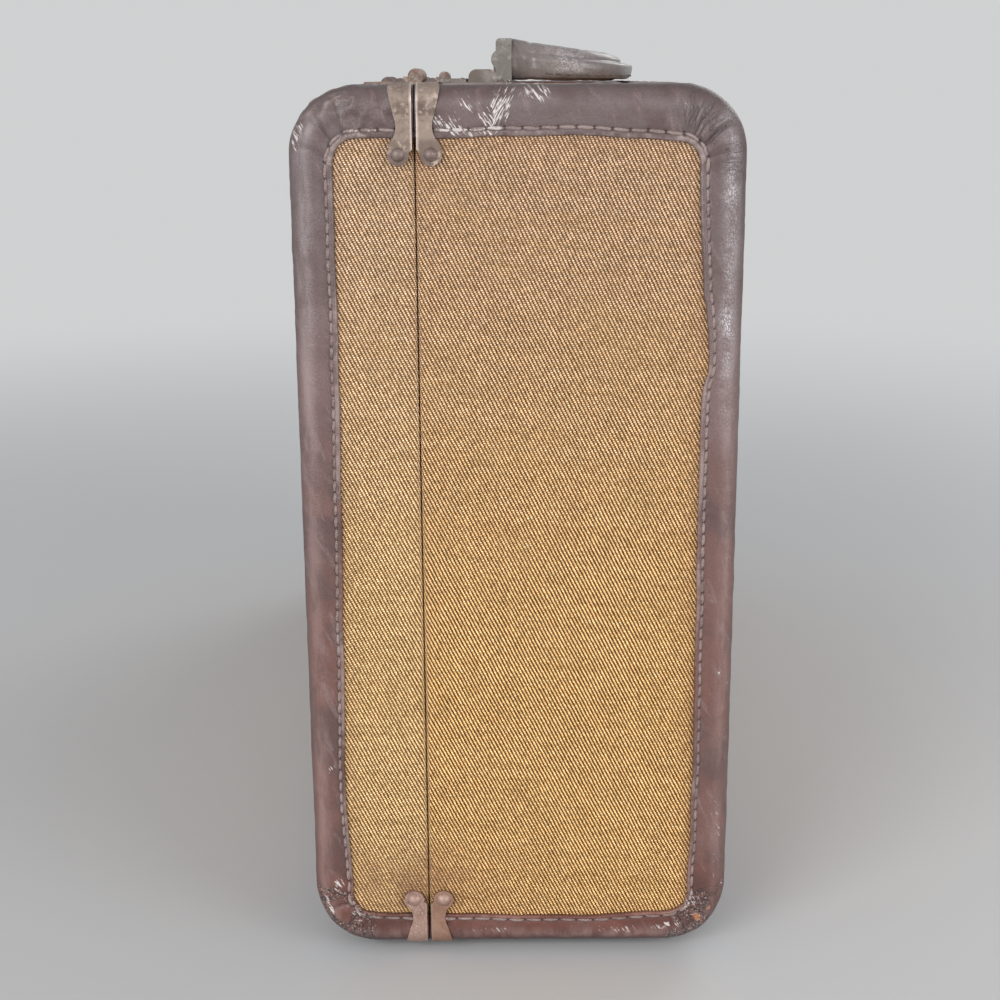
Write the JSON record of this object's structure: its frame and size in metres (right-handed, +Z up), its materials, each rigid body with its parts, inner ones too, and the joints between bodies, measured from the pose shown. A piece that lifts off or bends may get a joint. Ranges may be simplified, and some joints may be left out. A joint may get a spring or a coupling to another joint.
{
  "type": "suitcase",
  "caption": "Hard-sided travel case with tweed cloth panels, leather-bound edges, brass rim clips, hasp latches, a hinged lid and a folding leather handle.",
  "frame": {"origin": "Middle of the footprint, on the plane that the feet stand on", "axes": "+Z is up, +Y runs along the length of the case, +X runs across its depth from the lid to the base"},
  "size_m": [0.168, 0.5378, 0.3682],
  "materials": {
    "board": "bare bent board",
    "tweed": "twill tweed cloth, cream-gold with brown lines",
    "binding_leather": "worn purplish-brown hide",
    "handle_leather": "worn dark brown hide",
    "aged_brass": "tarnished, with rubbed edges",
    "rivet_brass": "tarnished domes",
    "pin_steel": "drawn pins",
    "lining_cloth": "plain woven cotton",
    "pocket_cloth": "gathered cotton",
    "strap_webbing": "woven webbing",
    "valance_board": "covered fibreboard",
    "foot_metal": "dark lacquered domes"
  },
  "bodies": {
    "base": {"base_shell": "board", "base_end_board_near": "board", "base_end_board_far": "board", "base_face_cloth": "tweed", "base_top_cloth": "tweed", "base_bottom_cloth": "tweed", "base_end_cloth_near": "tweed", "base_end_cloth_far": "tweed", "base_end_binding_near": "binding_leather", "base_end_binding_far": "binding_leather", "base_edge_binding_top": "binding_leather", "base_edge_binding_bottom": "binding_leather", "base_rim_clips": "aged_brass", "base_clip_rivets": "rivet_brass", "base_lining": "lining_cloth", "valance": "valance_board", "packing_straps": "strap_webbing", "strap_buckles": "pin_steel", "base_feet": "foot_metal", "base_hinge_leaves": "aged_brass", "hinge_pins": "pin_steel", "base_hinge_rivets": "rivet_brass", "lock_body_near": "aged_brass", "lock_body_far": "aged_brass", "lock_rivets": "rivet_brass", "handle_post_near": "aged_brass", "handle_post_far": "aged_brass", "handle_rivets": "rivet_brass", "handle_pins": "pin_steel"},
    "lid": {"lid_shell": "board", "lid_end_board_near": "board", "lid_end_board_far": "board", "lid_face_cloth": "tweed", "lid_top_cloth": "tweed", "lid_bottom_cloth": "tweed", "lid_end_cloth_near": "tweed", "lid_end_cloth_far": "tweed", "lid_end_binding_near": "binding_leather", "lid_end_binding_far": "binding_leather", "lid_edge_binding_top": "binding_leather", "lid_edge_binding_bottom": "binding_leather", "lid_rim_clips": "aged_brass", "lid_clip_rivets": "rivet_brass", "lid_lining": "lining_cloth", "lid_pocket": "pocket_cloth", "lid_feet": "foot_metal", "lid_hinge_leaves": "aged_brass", "lid_hinge_rivets": "rivet_brass", "latch_plate_near": "aged_brass", "latch_plate_far": "aged_brass", "latch_pins": "pin_steel", "latch_rivets": "rivet_brass"},
    "hasp_near": {"hasp_near": "aged_brass"},
    "hasp_far": {"hasp_far": "aged_brass"},
    "bolt_near": {"lock_bolt_near": "aged_brass"},
    "bolt_far": {"lock_bolt_far": "aged_brass"},
    "handle": {"handle_cap_near": "aged_brass", "handle_cap_far": "aged_brass", "handle_grip": "handle_leather", "handle_core": "pin_steel"}
  },
  "joints": [
    {"name": "lid_hinge", "type": "hinge", "parent": "base", "child": "lid", "pos_m": [-0.0375, 0, 0.004], "axis": [0, -1, 0], "range_deg": [0, 110]},
    {"name": "hasp_near_hinge", "type": "hinge", "parent": "lid", "child": "hasp_near", "pos_m": [-0.0407, -0.17, 0.351], "axis": [0, -1, 0], "range_deg": [0, 115]},
    {"name": "hasp_far_hinge", "type": "hinge", "parent": "lid", "child": "hasp_far", "pos_m": [-0.0407, 0.17, 0.351], "axis": [0, -1, 0], "range_deg": [0, 115]},
    {"name": "bolt_near_slide", "type": "slide", "parent": "base", "child": "bolt_near", "axis": [0, -1, 0], "range_m": [0, 0.007]},
    {"name": "bolt_far_slide", "type": "slide", "parent": "base", "child": "bolt_far", "axis": [0, 1, 0], "range_m": [0, 0.007]},
    {"name": "handle_hinge", "type": "hinge", "parent": "base", "child": "handle", "pos_m": [-0.0059, 0, 0.3586], "axis": [0, -1, 0], "range_deg": [0, 100]}
  ]
}
